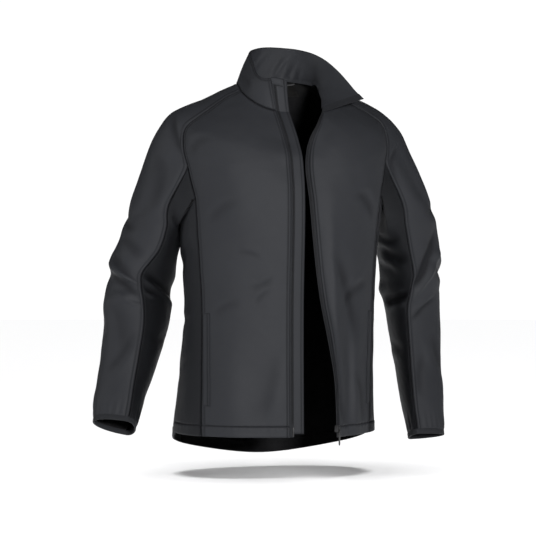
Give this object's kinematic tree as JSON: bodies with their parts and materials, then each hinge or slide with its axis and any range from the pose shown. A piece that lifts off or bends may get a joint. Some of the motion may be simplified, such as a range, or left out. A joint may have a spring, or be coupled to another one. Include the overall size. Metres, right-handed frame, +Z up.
{
  "type": "softshell jacket",
  "caption": "Worn softshell jacket with an open stand collar, full front zip, inner wind flap, welt pockets in the princess seams, saddle shoulders, elastic-bound cuffs and a swinging zip pull.",
  "frame": {"origin": "centre of the neck base, at the height where a wearer's shoulders carry the jacket", "axes": "+Z up, front faces -Y, the wearer's right is -X"},
  "size_m": [0.7411, 0.2902, 0.8263],
  "materials": {
    "shell": "matt bonded softshell cloth with a fleece back",
    "tape": "woven zip tape with coil teeth",
    "binding": "elastic binding and woven loop",
    "label": "plain woven label",
    "metal": "black lacquered zip metal"
  },
  "bodies": {
    "garment": {"front_right": "shell", "front_left": "shell", "side_right": "shell", "side_left": "shell", "sleeve_outer_right": "shell", "sleeve_outer_left": "shell", "sleeve_under_right": "shell", "sleeve_under_left": "shell", "back": "shell", "collar_outer": "shell", "collar_inner": "shell", "pocket_welt_right": "shell", "pocket_welt_left": "shell", "zip_tape_right": "tape", "zip_tape_left": "tape", "wind_flap": "shell", "chin_guard": "shell", "cuff_binding_right": "binding", "cuff_binding_left": "binding", "hanger_loop": "binding", "neck_label": "label", "zip_slider": "metal", "zip_box": "metal", "zip_pin": "metal"},
    "pull": {"zip_pull": "metal"}
  },
  "joints": [
    {"name": "pull_swing", "type": "hinge", "parent": "garment", "child": "pull", "pos_m": [0.08052, -0.15647, -0.67791], "axis": [-0.5422, -0.8403, 0], "range_deg": [0, 120]}
  ]
}
